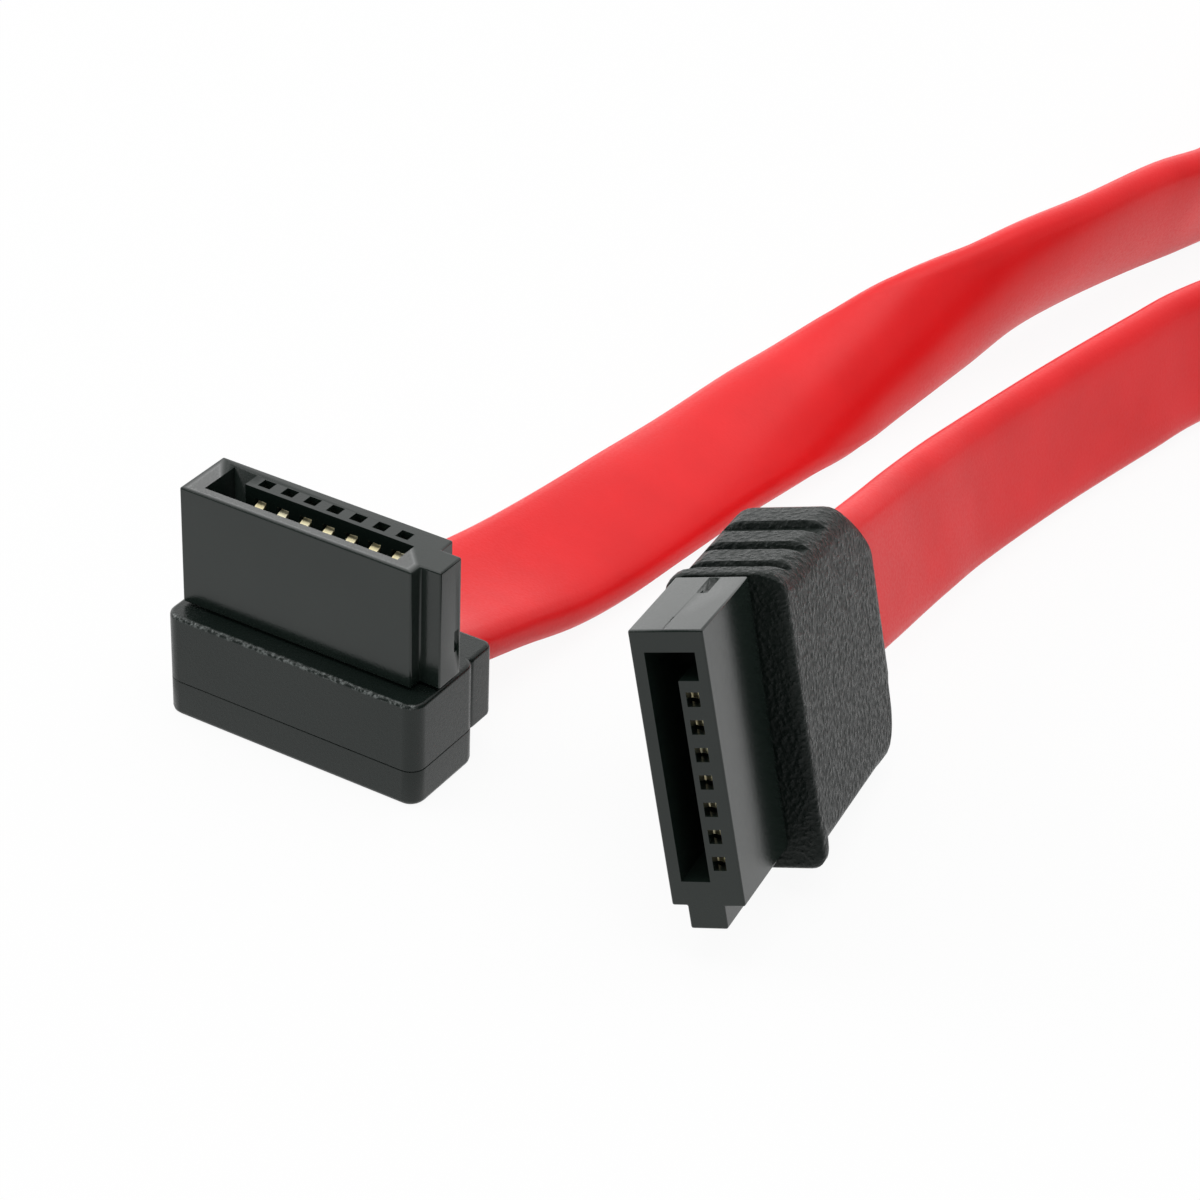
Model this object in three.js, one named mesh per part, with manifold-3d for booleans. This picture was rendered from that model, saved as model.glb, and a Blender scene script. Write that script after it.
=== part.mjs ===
// Flat data cable with a right-angle plug on one end and a straight plug on the other, lying on a table.
// Millimetres, +Z up. The origin is the centre of the right-angle plug's base. +X runs along that
// plug's long side towards its key rib, and +Y is the way the cable leaves it.
//
// Each plug is built in its own frame: X along the long side towards the key rib, Y across the
// thickness towards the contacts, Z out of the mating face, which lies at Z = 0.
import * as THREE from "three";
import { mergeVertices } from "three/addons/utils/BufferGeometryUtils.js";
import Module from "manifold-3d";

const wasm = await Module();
wasm.setup();

// Nose: the moulded part that goes into the socket, the same on both plugs.
const noseLength = 12.8;
const noseThickness = 3.35;
const ribReach = 1.1; // how far the key rib stands out of the nose's end
const ribLow = 0.7; // the rib's two sides, across the thickness
const ribHigh = 2.4;
const slotStart = 1.0; // the L-shaped slot: its long run and its short leg
const slotEnd = 11.65;
const slotLow = 0.6;
const slotWidth = 1.335;
const legWidth = 1.3;
const legHigh = 2.87;
const slotDepth = 5.2;

// Contacts: stamped strips, each in a channel that opens into the slot.
const contactCount = 7;
const contactPitch = 1.27;
const firstContact = 3.15;
const contactWidth = 0.46;
const contactThickness = 0.2;
const channelClearance = 0.1; // beside each strip
const channelLow = 2.18;
const channelHigh = 2.77;
const lipDepth = 0.6; // the thin lip between channel and slot at the mating face
const windowDepth = 3.0; // how far in the channel stays open to the slot
const bumpLow = 1.66; // the sprung bump's highest reach into the slot
const contactMargin = 0.7; // room in the mouldings beside the outer contacts

// The housing's tongue goes on behind the nose, inside the moulding that holds it.
const tongueEndInset = 1.2;
const tongueFaceInset = 0.35;
const seatClearance = 0.15; // between two moulded pieces that seat on each other
const tailReach = 1.4; // a contact's tail behind the tongue

// Flat cable: two screened pairs under one jacket.
const cableWidth = 7.8;
const cableThickness = 2.0;
const jacketClearance = 0.25; // around the jacket where it enters a plug
const jacketSteps = 100;
const corePitch = 1.15; // wires side by side at the jacket's end
const coreDiameter = 0.76; // insulated signal core
const drainDiameter = 0.5; // bare wire
const wireGap = 0.25; // at each end of a wire
const signalContacts = [1, 2, 4, 5]; // the other three contacts are grounds, joined to bare wires

// Straight plug.
const straightNose = 6.0;
const straightTongue = 3.0;
const lipLength = 1.0;
const lipEndOverhang = 0.25; // beyond the nose's first end
const lipKeyOverhang = 1.0; // beyond its other end, over the rib
const lipBackOverhang = 0.8; // beyond the two wide faces
const lipContactOverhang = 1.5;
const gripLength = 12.4; // overmould's depth including the lip
const gripEndInset = 0.3; // inside the nose's first end
const gripKeyOverhang = 0.55;
const gripBackOverhang = 0.75;
const gripContactOverhang = 1.45;
const gripCorner = 1.2;
const shoulderAcross = 3.0; // the corner cut away at the back, on the nose's first end
const shoulderAlong = 3.2;
const stepAcross = 3.2; // the small step at the back, on the rib's end
const stepAlong = 1.1;
const stepCorner = 0.9;
const grooves = [
  [1.95, 0.5], // behind the nose, and width
  [4.0, 0.75],
  [6.25, 1.05],
];
const grooveDepth = 0.45;
const straightJacketInside = 4.0;
const straightExitX = 6.65; // where the cable's middle leaves
const straightExitY = 1.68;
// It rests on one narrow side, a little turned, tilted and leaning.
const straightTurn = THREE.MathUtils.degToRad(12.5);
const straightTilt = THREE.MathUtils.degToRad(-14.4);
const straightLean = THREE.MathUtils.degToRad(-8.0);
const straightExitTurn = 104.5; // degrees, the flat cable's turn there, as the plug leans
const straightExitPlace = [18.65, 13.85]; // on the table, below the point where its cable leaves

// Right-angle plug: it stands on its cover with the nose up.
const angledNose = 6.2;
const angledTongue = 1.3;
const hoodHeight = 5.7; // cover and seam included
const coverHeight = 1.9;
const seamGap = 0.1;
const coverBoss = 0.5; // seats inside the hood's shaft
const hoodEndOverhang = 0.35;
const hoodKeyOverhang = 1.05;
const hoodFrontOverhang = 1.1;
const hoodBackOverhang = 0.6;
const hoodCorner = 0.8;
const collarDepth = 1.6;
const collarStart = 2.1;
const collarEndInset = 0.2; // inside the hood's end
const collarDrop = 0.4; // behind the cover, below the seam
const collarCorner = 0.8;
const angledJacketInside = 1.25;
const angledExitX = 7.85;
const angledExitZ = 3.8; // above the table

const black = { color: 0x2b2e2d, metalness: 0 };
const housingBlack = new THREE.MeshStandardMaterial({ ...black, roughness: 0.3 });
const grainedBlack = new THREE.MeshStandardMaterial({ ...black, roughness: 0.6 });
const gold = new THREE.MeshStandardMaterial({ color: 0xe8c873, roughness: 0.25, metalness: 1 });
const jacketRed = new THREE.MeshStandardMaterial({ color: 0xd8141f, roughness: 0.4, metalness: 0 });
const coreWhite = new THREE.MeshStandardMaterial({ color: 0xe9e7e0, roughness: 0.5, metalness: 0 });
const tinned = new THREE.MeshStandardMaterial({ color: 0xc9ccce, roughness: 0.35, metalness: 1 });

function solidOf(geometry) {
  const bare = geometry.index ? geometry.toNonIndexed() : geometry.clone();
  bare.deleteAttribute("normal");
  bare.deleteAttribute("uv");
  const merged = mergeVertices(bare, 1e-4);
  return new wasm.Manifold(
    new wasm.Mesh({
      numProp: 3,
      vertProperties: merged.attributes.position.array,
      triVerts: new Uint32Array(merged.index.array),
    }),
  );
}

function meshOf(name, solid, material) {
  const { vertProperties, triVerts } = solid.getMesh();
  const geometry = new THREE.BufferGeometry();
  geometry.setAttribute("position", new THREE.BufferAttribute(vertProperties, 3));
  geometry.setIndex(new THREE.BufferAttribute(triVerts, 1));
  geometry.computeVertexNormals();
  const mesh = new THREE.Mesh(geometry, material.clone());
  mesh.name = name;
  return mesh;
}

function box(x0, x1, y0, y1, z0, z1) {
  const geometry = new THREE.BoxGeometry(x1 - x0, y1 - y0, z1 - z0);
  return solidOf(geometry.translate((x0 + x1) / 2, (y0 + y1) / 2, (z0 + z1) / 2));
}

// A shape drawn in two of the axes and extruded from one value to the other along the third.
const alongX = [new THREE.Vector3(0, 1, 0), new THREE.Vector3(0, 0, 1), new THREE.Vector3(1, 0, 0)];
const alongY = [new THREE.Vector3(0, 0, 1), new THREE.Vector3(1, 0, 0), new THREE.Vector3(0, 1, 0)];
const alongZ = [new THREE.Vector3(1, 0, 0), new THREE.Vector3(0, 1, 0), new THREE.Vector3(0, 0, 1)];
function prism(shape, axes, from, to) {
  const geometry = new THREE.ExtrudeGeometry(shape, {
    depth: to - from,
    bevelEnabled: false,
    curveSegments: 4,
  });
  geometry.translate(0, 0, from);
  return solidOf(geometry.applyMatrix4(new THREE.Matrix4().makeBasis(...axes)));
}

function polygon(points) {
  return new THREE.Shape(points.map(([a, b]) => new THREE.Vector2(a, b)));
}

function roundedRectangle(x0, x1, y0, y1, r) {
  const shape = new THREE.Shape();
  shape.absarc(x1 - r, y1 - r, r, 0, Math.PI / 2);
  shape.absarc(x0 + r, y1 - r, r, Math.PI / 2, Math.PI);
  shape.absarc(x0 + r, y0 + r, r, Math.PI, 1.5 * Math.PI);
  shape.absarc(x1 - r, y0 + r, r, 1.5 * Math.PI, 2 * Math.PI);
  shape.closePath();
  return shape;
}

const contactX = (i) => firstContact + i * contactPitch;
const contactMiddle = (channelLow + channelHigh) / 2 + 0.03; // a strip lies a little towards the outside
const slotHigh = slotLow + slotWidth;
const tongue = {
  x0: tongueEndInset,
  x1: noseLength - tongueEndInset,
  y0: tongueFaceInset,
  y1: noseThickness - tongueFaceInset,
};
// The hollow behind the nose, in the moulding that takes the tongue and the outer contacts.
const hollow = {
  x0: Math.min(tongue.x0 - seatClearance, contactX(0) - contactMargin),
  x1: Math.max(tongue.x1 + seatClearance, contactX(contactCount - 1) + contactMargin),
  y0: tongue.y0 - seatClearance,
  y1: tongue.y1 + seatClearance,
};

function housing(noseDepth, tongueLength) {
  const end = noseLength + ribReach;
  const outline = polygon([
    [0, 0],
    [noseLength, 0],
    [noseLength, ribLow],
    [end, ribLow],
    [end, ribHigh],
    [noseLength, ribHigh],
    [noseLength, noseThickness],
    [0, noseThickness],
  ]);
  const slot = polygon([
    [slotStart, slotLow],
    [slotEnd, slotLow],
    [slotEnd, slotHigh],
    [slotStart + legWidth, slotHigh],
    [slotStart + legWidth, legHigh],
    [slotStart, legHigh],
  ]);
  const back = -(noseDepth + tongueLength);
  let solid = prism(outline, alongZ, -noseDepth, 0)
    .add(box(tongue.x0, tongue.x1, tongue.y0, tongue.y1, back, -noseDepth + 0.5))
    .subtract(prism(slot, alongZ, -slotDepth, 1));
  const half = contactWidth / 2 + channelClearance;
  for (let i = 0; i < contactCount; i++) {
    const x = contactX(i);
    solid = solid
      .subtract(box(x - half, x + half, channelLow, channelHigh, back - 1, 1))
      .subtract(box(x - half, x + half, slotHigh - 0.1, channelLow + 0.1, -windowDepth, -lipDepth));
  }
  return solid;
}

// A strip with its tip behind the lip and its bump sprung into the slot, seen along X.
function contact(i, tailEnd) {
  const inner = contactMiddle - contactThickness / 2;
  const outer = contactMiddle + contactThickness / 2;
  const profile = polygon([
    [inner + 0.05, -lipDepth - 0.05],
    [bumpLow + 0.08, -lipDepth - 0.32],
    [bumpLow, -lipDepth - 0.55],
    [bumpLow + 0.04, -lipDepth - 0.8],
    [inner, -windowDepth + 0.1],
    [inner, tailEnd],
    [outer, tailEnd],
    [outer, -windowDepth + 0.2],
    [bumpLow + contactThickness + 0.04, -lipDepth - 0.8],
    [bumpLow + contactThickness, -lipDepth - 0.55],
    [outer, -lipDepth - 0.1],
  ]);
  const x = contactX(i);
  return prism(profile, alongX, x - contactWidth / 2, x + contactWidth / 2);
}

// One short wire from the jacket's end to a contact's tail.
function wire(from, to, diameter) {
  const middle = from.clone().lerp(to, 0.5);
  const path = new THREE.CatmullRomCurve3([from, middle, to]);
  const section = new THREE.Shape();
  section.absarc(0, 0, diameter / 2, 0, 2 * Math.PI);
  return solidOf(new THREE.ExtrudeGeometry(section, { steps: 2, curveSegments: 4, extrudePath: path }));
}

function addContactsAndWires(group, side, tailEnd, jacketEnd, tailPoint) {
  let cores = 0;
  let drains = 0;
  for (let i = 0; i < contactCount; i++) {
    const signal = signalContacts.includes(i);
    const offset = (i - (contactCount - 1) / 2) * corePitch;
    const solid = wire(jacketEnd(offset), tailPoint(i), signal ? coreDiameter : drainDiameter);
    const name = signal ? `${side}_core_${++cores}` : `${side}_drain_${++drains}`;
    group.add(meshOf(`${side}_contact_${i + 1}`, contact(i, tailEnd), gold));
    group.add(meshOf(name, solid, signal ? coreWhite : tinned));
  }
}

// Straight plug: the overmould grips the housing's tongue and the cable.
function overmould() {
  const front = -straightNose;
  const back = front - gripLength;
  const x0 = gripEndInset;
  const x1 = noseLength + gripKeyOverhang;
  const y0 = -gripBackOverhang;
  const y1 = noseThickness + gripContactOverhang;
  const face = front - seatClearance;
  const sides = polygon([
    [face, x0],
    [back + shoulderAlong, x0],
    [back, x0 + shoulderAcross],
    [back, x1 - stepAcross],
    [back + stepAlong, x1 - stepAcross + stepAlong / 2],
    [back + stepAlong, x1 - stepCorner],
    [back + stepAlong + stepCorner, x1],
    [face, x1],
  ]);
  const lip = roundedRectangle(
    -lipEndOverhang,
    noseLength + lipKeyOverhang,
    -lipBackOverhang,
    noseThickness + lipContactOverhang,
    gripCorner,
  );
  const hollowBack = back + straightJacketInside + 0.3;
  const w = cableWidth / 2 + jacketClearance;
  const t = cableThickness / 2 + jacketClearance;
  let solid = prism(sides, alongY, y0, y1)
    .intersect(prism(roundedRectangle(x0, x1, y0, y1, gripCorner), alongZ, back - 1, front + 1))
    .add(prism(lip, alongZ, front - lipLength, face))
    .subtract(box(hollow.x0, hollow.x1, hollow.y0, hollow.y1, hollowBack, front + 1))
    .subtract(
      box(straightExitX - w, straightExitX + w, straightExitY - t, straightExitY + t, back - 1, hollowBack + 1),
    );
  for (const [behind, width] of grooves) {
    const z1 = front - behind;
    const z0 = z1 - width;
    solid = solid
      .subtract(box(x0 - 1, x0 + grooveDepth, y0 - 1, y1 + 1, z0, z1))
      .subtract(box(x1 - grooveDepth, x1 + 1, y0 - 1, y1 + 1, z0, z1));
  }
  return solid;
}

const straightPlug = new THREE.Group();
{
  const back = -straightNose - gripLength;
  const tailEnd = -straightNose - straightTongue - tailReach;
  const wiresFrom = back + straightJacketInside + wireGap;
  straightPlug.add(meshOf("straight_housing", housing(straightNose, straightTongue), housingBlack));
  straightPlug.add(meshOf("straight_overmould", overmould(), grainedBlack));
  addContactsAndWires(
    straightPlug,
    "straight",
    tailEnd,
    (offset) => new THREE.Vector3(straightExitX + offset, straightExitY, wiresFrom),
    (i) => new THREE.Vector3(contactX(i), contactMiddle, tailEnd - wireGap),
  );
  const upright = new THREE.Matrix4().makeBasis(
    new THREE.Vector3(0, 0, -1),
    new THREE.Vector3(1, 0, 0),
    new THREE.Vector3(0, -1, 0),
  );
  const turned = new THREE.Matrix4().makeRotationFromEuler(
    new THREE.Euler(straightLean, straightTilt, straightTurn, "ZYX"),
  );
  straightPlug.setRotationFromMatrix(turned.multiply(upright));
  straightPlug.updateMatrixWorld(true);
  const exit = straightPlug.localToWorld(new THREE.Vector3(straightExitX, straightExitY, back));
  const lowest = new THREE.Box3().setFromObject(straightPlug, true).min.z;
  straightPlug.position.set(straightExitPlace[0] - exit.x, straightExitPlace[1] - exit.y, -lowest);
  straightPlug.updateMatrixWorld(true);
}

// Right-angle plug: a hood over the tongue, closed from below by a cover.
const hood = {
  x0: -hoodEndOverhang,
  x1: noseLength + hoodKeyOverhang,
  y0: -hoodFrontOverhang,
  y1: noseThickness + hoodBackOverhang,
  top: -angledNose,
  bottom: -angledNose - hoodHeight,
};
const exitBelow = hood.bottom + angledExitZ; // the cable's middle, in the plug's own frame
const collarBack = hood.y1 + collarDepth;

function hoodSolid() {
  const low = hood.bottom + coverHeight + seamGap;
  const high = hood.top - seatClearance;
  const w = cableWidth / 2 + jacketClearance;
  const t = cableThickness / 2 + jacketClearance;
  const collarEnd = hood.x1 - collarEndInset;
  const collarLow = low - collarDrop;
  const collar = polygon([
    [collarLow, collarStart],
    [high, collarStart],
    [high, collarEnd],
    [collarLow + collarCorner, collarEnd],
    [collarLow, collarEnd - collarCorner],
  ]);
  const throat = {
    x0: Math.min(contactX(0) - contactMargin, angledExitX - w),
    x1: Math.max(contactX(contactCount - 1) + contactMargin, angledExitX + w),
    y1: collarBack - angledJacketInside + 0.3,
  };
  return prism(roundedRectangle(hood.x0, hood.x1, hood.y0, hood.y1, hoodCorner), alongZ, low, high)
    .add(box(collarStart, collarEnd, hood.y1 - 1, hood.y1 + 1, low, high))
    .add(prism(collar, alongY, hood.y1 + seamGap, collarBack))
    .subtract(box(hollow.x0, hollow.x1, hollow.y0, hollow.y1, low - 1, high + 1))
    .subtract(box(throat.x0, throat.x1, tongue.y1 - 0.2, throat.y1, exitBelow - t, exitBelow + t))
    .subtract(box(angledExitX - w, angledExitX + w, throat.y1 - 0.5, collarBack + 1, exitBelow - t, exitBelow + t));
}

function coverSolid() {
  const outline = roundedRectangle(hood.x0, hood.x1, hood.y0, hood.y1, hoodCorner);
  const top = hood.bottom + coverHeight;
  return prism(outline, alongZ, hood.bottom, top).add(
    box(tongue.x0, tongue.x1, tongue.y0, tongue.y1, top - 0.5, top + coverBoss),
  );
}

const angledPlug = new THREE.Group();
{
  const tailEnd = -angledNose - angledTongue - tailReach;
  const jacketEnd = collarBack - angledJacketInside;
  const tailFace = contactMiddle + contactThickness / 2;
  angledPlug.add(meshOf("angled_housing", housing(angledNose, angledTongue), housingBlack));
  angledPlug.add(meshOf("angled_hood", hoodSolid(), grainedBlack));
  angledPlug.add(meshOf("angled_cover", coverSolid(), grainedBlack));
  addContactsAndWires(
    angledPlug,
    "angled",
    tailEnd,
    (offset) => new THREE.Vector3(angledExitX + offset, jacketEnd - wireGap, exitBelow),
    (i) => new THREE.Vector3(contactX(i), tailFace + wireGap, exitBelow - 0.1),
  );
  angledPlug.position.set(-(hood.x0 + hood.x1) / 2, -(hood.y0 + hood.y1) / 2, -hood.bottom);
  angledPlug.updateMatrixWorld(true);
}

// Cable route: each point is x, y, z and the angle that the flat section is turned about its own run,
// 0 lying flat and 90 standing on edge. It leaves the right-angle plug flat, twists onto its edge and
// comes back to the straight plug on edge, in one loop.
const onEdge = cableWidth / 2;
const legFromAngled = [
  [1.3, 7.1, 3.15, 4],
  [1.6, 10.6, 2.6, 8],
  [2.15, 14.6, 2.1, 12],
  [2.65, 18.6, 1.95, 14],
  [3.25, 23.6, 2.15, 13],
  [4, 28.6, 2.5, 13],
  [5.25, 33.6, 3.15, 21],
  [6.25, 36.6, 3.5, 32],
  [7.1, 39, 3.75, 51],
  [7.9, 41.5, 3.85, 69],
  [8.7, 44.5, 3.95, 83],
  [9.45, 48, 4, 92],
  [10.4, 52.6, 4.2, 102],
  [11.35, 57, 4.2, 107],
  [12.75, 63.6, 4.1, 108],
  [13.85, 68.6, onEdge, 107],
  [14.4, 75.6, onEdge, 101],
  [14.3, 83.6, onEdge, 95],
  [12.8, 91.6, onEdge, 91],
  [10.2, 100.1, onEdge, 90],
  [6.9, 108.8, onEdge, 90],
  [3.2, 118.4, onEdge, 90],
];
const loopCentre = [33.4, 142];
const loopRadius = 36.5;
const loopFrom = 200; // degrees, clockwise to 0
const loopPoints = 12;
const legToStraight = [
  [69.4, 129, onEdge, 90],
  [67.3, 116.6, onEdge, 90],
  [63.4, 104.8, onEdge, 90],
  [57.6, 94, onEdge, 90],
  [50.3, 84.8, onEdge, 90],
  [42.2, 76.8, onEdge, 91],
  [34.2, 69.4, onEdge, 93],
  [27.65, 62.6, onEdge, 95],
  [23.65, 57.2, onEdge, 97],
  [21.15, 50.6, onEdge, 101],
  [20.35, 46.6, onEdge, 102],
  [18.9, 38.6, onEdge, 102],
  [18, 30.6, 4.15, 103],
  [18, 26.6, 4.6, 105],
  [18.05, 23.5, 4.9, 106],
  [18.3, 20.2, 5.4, 106],
  [18.55, 17.2, 5.95, 106],
];

// A smooth curve whose frames turn with the route's own angles instead of following its bends.
class TurningRoute extends THREE.CatmullRomCurve3 {
  constructor(rows) {
    super(rows.map(([x, y, z]) => new THREE.Vector3(x, y, z)), false, "centripetal");
    this.turns = rows.map((row) => THREE.MathUtils.degToRad(row[3]));
  }

  turnAt(u) {
    const place = this.getUtoTmapping(u) * (this.turns.length - 1);
    const i = Math.min(Math.floor(place), this.turns.length - 2);
    return THREE.MathUtils.lerp(this.turns[i], this.turns[i + 1], place - i);
  }

  computeFrenetFrames(segments) {
    const frames = { tangents: [], normals: [], binormals: [] };
    for (let s = 0; s <= segments; s++) {
      const u = s / segments;
      const along = this.getTangentAt(u);
      const left = new THREE.Vector3(0, 0, 1).cross(along).normalize();
      const up = along.clone().cross(left);
      const turn = this.turnAt(u);
      frames.tangents.push(along);
      frames.normals.push(left.clone().multiplyScalar(Math.cos(turn)).addScaledVector(up, Math.sin(turn)));
      frames.binormals.push(up.multiplyScalar(Math.cos(turn)).addScaledVector(left, -Math.sin(turn)));
    }
    return frames;
  }
}

function jacket() {
  const loop = Array.from({ length: loopPoints }, (_, i) => {
    const angle = THREE.MathUtils.degToRad(loopFrom * (1 - i / (loopPoints - 1)));
    return [
      loopCentre[0] + loopRadius * Math.cos(angle),
      loopCentre[1] + loopRadius * Math.sin(angle),
      onEdge,
      90,
    ];
  });
  const fromAngled = [collarBack - angledJacketInside, collarBack].map((y) =>
    angledPlug.localToWorld(new THREE.Vector3(angledExitX, y, exitBelow)),
  );
  const straightBack = -straightNose - gripLength;
  const toStraight = [straightBack, straightBack + straightJacketInside].map((z) =>
    straightPlug.localToWorld(new THREE.Vector3(straightExitX, straightExitY, z)),
  );
  const route = new TurningRoute([
    ...fromAngled.map((p) => [...p, 0]),
    ...legFromAngled,
    ...loop,
    ...legToStraight,
    ...toStraight.map((p) => [...p, straightExitTurn]),
  ]);
  const r = cableThickness / 2;
  const flat = cableWidth / 2 - r;
  const section = new THREE.Shape();
  section.absarc(flat, 0, r, -Math.PI / 2, Math.PI / 2);
  section.absarc(-flat, 0, r, Math.PI / 2, 1.5 * Math.PI);
  section.closePath();
  return solidOf(
    new THREE.ExtrudeGeometry(section, { steps: jacketSteps, curveSegments: 5, extrudePath: route }),
  );
}

const cable = new THREE.Group();
cable.add(angledPlug);
cable.add(straightPlug);
cable.add(meshOf("cable_jacket", jacket(), jacketRed));

export default cable;
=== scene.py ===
# %% [markdown]
# # A flat data cable with two keyed plugs
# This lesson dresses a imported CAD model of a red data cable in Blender. The CAD model is the fixed
# frame: its pieces stay where they lie, in metres, and everything made here is fitted to them. We set
# up the camera, the cable, the two plugs' mouldings, their finishes, a floor and soft light. Pieces
# that the CAD already has right, such as the contacts, only get a finish.

# %% Load the frame
import math

import bmesh
import bpy
from mathutils import Matrix, Vector


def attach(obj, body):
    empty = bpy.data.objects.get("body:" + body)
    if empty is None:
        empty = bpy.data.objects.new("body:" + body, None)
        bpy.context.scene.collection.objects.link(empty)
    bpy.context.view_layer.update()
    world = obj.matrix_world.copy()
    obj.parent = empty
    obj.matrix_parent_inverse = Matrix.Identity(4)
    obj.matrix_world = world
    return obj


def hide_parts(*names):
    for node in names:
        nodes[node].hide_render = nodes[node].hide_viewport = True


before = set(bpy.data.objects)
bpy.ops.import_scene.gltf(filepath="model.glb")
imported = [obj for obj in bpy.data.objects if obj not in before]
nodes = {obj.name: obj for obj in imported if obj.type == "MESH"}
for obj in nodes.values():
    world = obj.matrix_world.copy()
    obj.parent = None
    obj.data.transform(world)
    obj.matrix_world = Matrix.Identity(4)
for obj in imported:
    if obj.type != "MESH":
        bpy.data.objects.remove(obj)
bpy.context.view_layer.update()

scene = bpy.context.scene
MM = 0.001  # the pieces are drawn in millimetres and placed in metres
print("CAD nodes:", len(nodes))

# %% [markdown]
# ## The camera
# A product photograph is taken from some way off with a long lens, so edges that run away from us
# hardly converge. The place and the view axes below put both plugs where the photograph has them. They
# could be set by eye, but the corners of the plugs are known sizes, so the camera that shows them all
# in the right places was solved instead. Blender's camera looks along its own -Z, so the view
# direction goes in with its sign changed.

# %% Camera
image_px = 1200
focal_px = 3614.3
sensor_width = 36.0
camera_place = Vector((81.48, -112.835, 98.08)) * MM
view_right = Vector((0.8496, 0.5264, 0.0336)).normalized()
view_ahead = Vector((-0.4261, 0.7224, -0.5445))
view_ahead = (view_ahead - view_right * view_ahead.dot(view_right)).normalized()
view_up = view_right.cross(view_ahead)

lens_data = bpy.data.cameras.new("photo_camera")
lens_data.sensor_width = sensor_width
lens_data.lens = focal_px / image_px * sensor_width
lens_data.clip_start = 0.01
camera = bpy.data.objects.new("photo_camera", lens_data)
turn_to_view = Matrix((view_right, view_up, -view_ahead)).transposed()
camera.matrix_world = Matrix.Translation(camera_place) @ turn_to_view.to_4x4()
scene.collection.objects.link(camera)
scene.camera = camera
print("lens", round(lens_data.lens, 1), "mm")

# %% [markdown]
# ## The cable's route
# A flat cable needs more than a line of points: at each point it also has an angle, 0 where it lies
# flat and 90 where it stands on its edge. It leaves the right-angle plug flat, twists onto its edge,
# runs round one loop and comes back to the straight plug on edge. Where it twists, its soft section
# also curls like a leaf, so a fifth number says how many degrees it bends across. The places are those
# of the CAD's route, within a twentieth of a millimetre. The turns in the twist are up to 8 degrees
# off the CAD's, whose section stays flat there, because here the curl takes a share of the twist.

# %% Route points: x, y and z in millimetres, turn and curl in degrees
cable_width = 7.8
cable_thickness = 2.0
on_edge = cable_width / 2
leg_from_angled = [
    (1.1, 2.875, 3.8, 0, 0), (1.1, 4.125, 3.8, 0, 0),
    (1.3, 7.1, 3.15, 4, 0), (1.6, 10.6, 2.6, 8, 1), (2.15, 14.6, 2.1, 13, 7),
    (2.65, 18.6, 1.96, 15, 16), (3.25, 23.6, 2.15, 14, 31), (4.0, 28.6, 2.5, 13, 49),
    (5.25, 33.6, 3.15, 23, 71), (6.25, 36.6, 3.5, 34, 91), (7.1, 39.0, 3.75, 46, 101),
    (7.9, 41.5, 3.85, 61, 100), (8.7, 44.5, 3.95, 78, 77), (9.45, 48.0, 4.0, 92, 60),
    (10.4, 52.6, 4.25, 103, 54), (11.35, 57.0, 4.25, 108, 44), (12.75, 63.6, 4.15, 107, 32),
    (13.85, 68.6, on_edge, 109, 16), (14.4, 75.6, on_edge, 96, 0), (14.3, 83.6, on_edge, 95, 0),
    (12.8, 91.6, on_edge, 91, 0), (10.2, 100.1, on_edge, 90, 0), (6.9, 108.8, on_edge, 90, 0),
    (3.2, 118.4, on_edge, 90, 0),
]
loop_centre = (33.4, 142)
loop_radius = 36.5
loop_from = 200
loop_points = 12
loop = []
for i in range(loop_points):
    angle = math.radians(loop_from * (1 - i / (loop_points - 1)))
    loop.append((loop_centre[0] + loop_radius * math.cos(angle),
                 loop_centre[1] + loop_radius * math.sin(angle), on_edge, 90, 0))
leg_to_straight = [
    (69.4, 129.0, on_edge, 90, 0), (67.3, 116.6, on_edge, 90, 0), (63.4, 104.8, on_edge, 90, 0),
    (57.6, 94.0, on_edge, 90, 0), (50.3, 84.8, on_edge, 90, 0), (42.2, 76.8, on_edge, 91, 0),
    (34.2, 69.4, on_edge, 93, 0), (27.65, 62.6, on_edge, 95, 0), (23.65, 57.2, on_edge, 97, 0),
    (21.15, 50.6, on_edge, 101, 0), (20.35, 46.6, on_edge, 102, 0), (18.9, 38.6, on_edge, 102, 0),
    (18.0, 30.6, 4.15, 103, 0), (18.0, 26.6, 4.6, 105, 0), (18.05, 23.5, 4.9, 106, 0),
    (18.3, 20.2, 5.4, 106, 0), (18.55, 17.2, 5.95, 106, 0),
]
print("points on the legs and the loop:", len(leg_from_angled), len(loop), len(leg_to_straight))

# %% [markdown]
# ## Where the two plugs lie
# The straight plug lies on one narrow side, turned, tilted and leaning a little. Its matrix takes the
# plug's own axes (X along its long side, Y across its thickness, Z out of its mating face) to the
# table, and the last two points of the cable's route lie on its middle line. The right-angle plug
# stands square on its base, so its matrix only moves it.

# %% The two plugs' places
straight_origin = Vector((18.5841, -3.88, 14.9428))
heading, tilt, lean = (math.radians(degrees) for degrees in (12.5, -14.4, -8.0))
on_narrow_side = Matrix(((0, 1, 0), (0, 0, -1), (-1, 0, 0)))
straight_turn = (Matrix.Rotation(heading, 3, "Z") @ Matrix.Rotation(tilt, 3, "Y")
                 @ Matrix.Rotation(lean, 3, "X") @ on_narrow_side)
straight_place = Matrix.Translation(straight_origin) @ straight_turn.to_4x4()
angled_place = Matrix.Translation((-6.75, -1.425, 11.9))
straight_back = -18.4
straight_exit = Vector((6.65, 1.68, straight_back))
run_inside = 4.0
exit_turn = 104.5
exit_on_table = straight_place @ straight_exit
end_inside = straight_place @ (straight_exit + Vector((0, 0, run_inside)))
route = (leg_from_angled + loop + leg_to_straight
         + [(*exit_on_table, exit_turn, 0), (*end_inside, exit_turn, 0)])
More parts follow.
